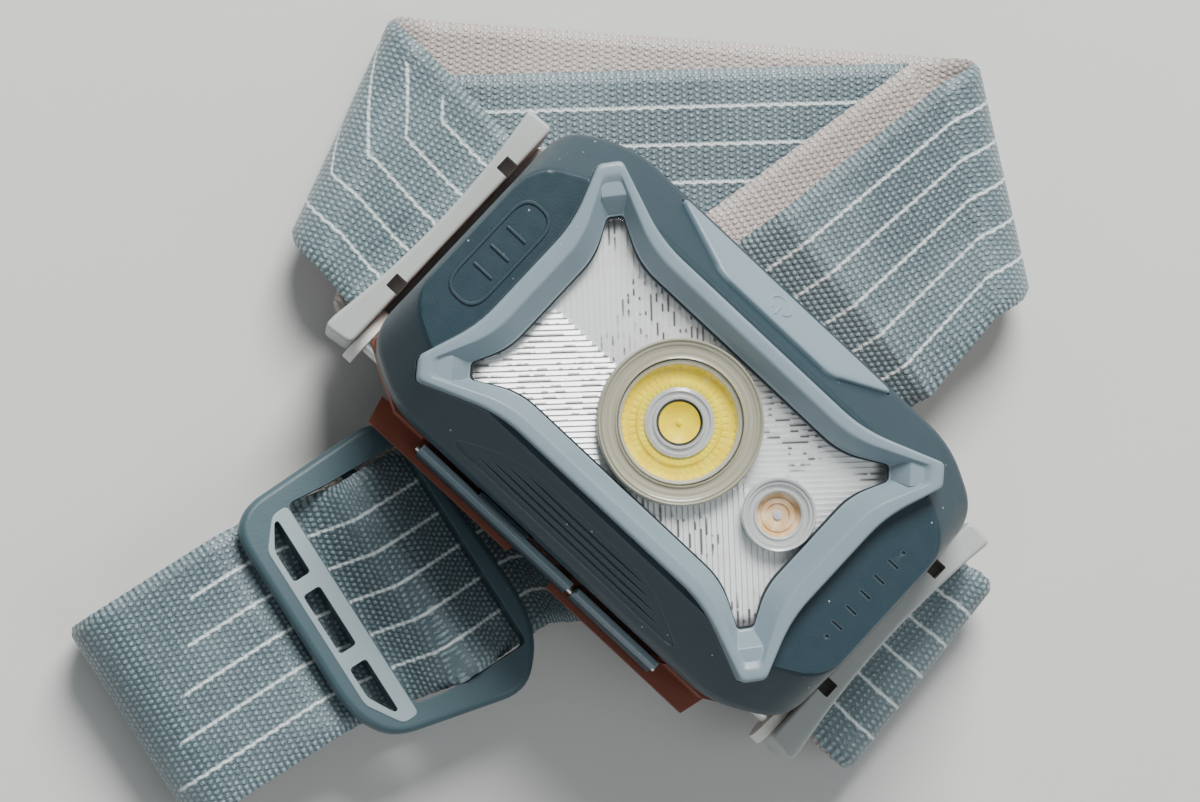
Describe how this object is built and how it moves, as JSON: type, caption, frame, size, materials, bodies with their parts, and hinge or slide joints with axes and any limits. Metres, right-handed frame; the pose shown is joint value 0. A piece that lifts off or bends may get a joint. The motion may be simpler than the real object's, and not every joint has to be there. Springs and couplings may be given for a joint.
{
  "type": "headlamp",
  "caption": "Headlamp on a folded elastic headband: lamp with a star bezel, ribbed lens, tilting bracket, opening case, side power button and strap slider.",
  "frame": {"origin": "on the surface that the folded headband rests on, under the centre of the lamp", "axes": "+Z the way the beam goes with the lamp lying on its back, X along the lamp's length, +Y towards the power button"},
  "size_m": [0.0956, 0.1236, 0.0368],
  "materials": {
    "webbing": "matte",
    "front_teal": "satin",
    "bezel_blue": "satin",
    "lens_clear": "clear",
    "reflector_silver": "satin mirror",
    "optic_clear": "clear",
    "ring_beige": "translucent",
    "led_phosphor": "matte",
    "led_peach": "matte",
    "board_white": "satin",
    "board_green": "satin",
    "carrier_grey": "matte",
    "bracket_grey": "satin",
    "slider_teal": "satin",
    "rear_terracotta": "satin",
    "steel": "polished",
    "contact_nickel": "satin",
    "cell_sleeve": "gloss",
    "seal_rubber": "matte",
    "washer_nylon": "satin",
    "switch_black": "satin"
  },
  "bodies": {
    "root": {"headband": "webbing", "strap_tail": "webbing", "slider": "slider_teal", "tilt_bracket": "bracket_grey", "tilt_pins": "steel", "friction_washers": "washer_nylon"},
    "rear_case": {"rear_shell": "rear_terracotta", "battery_tray": "carrier_grey", "battery_1": "cell_sleeve", "battery_2": "cell_sleeve", "battery_3": "cell_sleeve", "spring_contacts": "contact_nickel", "contact_plates": "contact_nickel", "case_gasket": "seal_rubber", "hinge_pin": "steel", "latch_pin": "steel", "fixed_lip": "bezel_blue"},
    "front_case": {"front_cover": "front_teal", "star_bezel": "bezel_blue", "lens": "lens_clear", "reflector": "reflector_silver", "optic_ring": "ring_beige", "main_optic": "optic_clear", "main_led": "led_phosphor", "small_optic": "optic_clear", "small_led": "led_peach", "led_board": "board_white", "circuit_board": "board_green", "inner_carrier": "carrier_grey", "carrier_screws": "steel", "button_seal": "seal_rubber", "tactile_switch": "switch_black"},
    "power_button": {"power_button": "bezel_blue"},
    "case_latch": {"case_latch": "bezel_blue"}
  },
  "joints": [
    {"name": "lamp_tilt", "type": "hinge", "parent": "root", "child": "rear_case", "pos_m": [0, -0.0148, 0.0147], "axis": [1, 0, 0], "range_deg": [0, 45]},
    {"name": "case_open", "type": "hinge", "parent": "rear_case", "child": "front_case", "pos_m": [0, 0.0183, 0.0206], "axis": [-1, 0, 0], "range_deg": [0, 75]},
    {"name": "button_press", "type": "slide", "parent": "front_case", "child": "power_button", "axis": [0, -0.7415, -0.6709], "range_m": [0, 0.0006], "stiffness_N_per_m": 800},
    {"name": "latch_release", "type": "hinge", "parent": "rear_case", "child": "case_latch", "pos_m": [0, -0.0199, 0.0154], "axis": [1, 0, 0], "range_deg": [0, 15], "stiffness_Nm_per_rad": 0.02}
  ]
}
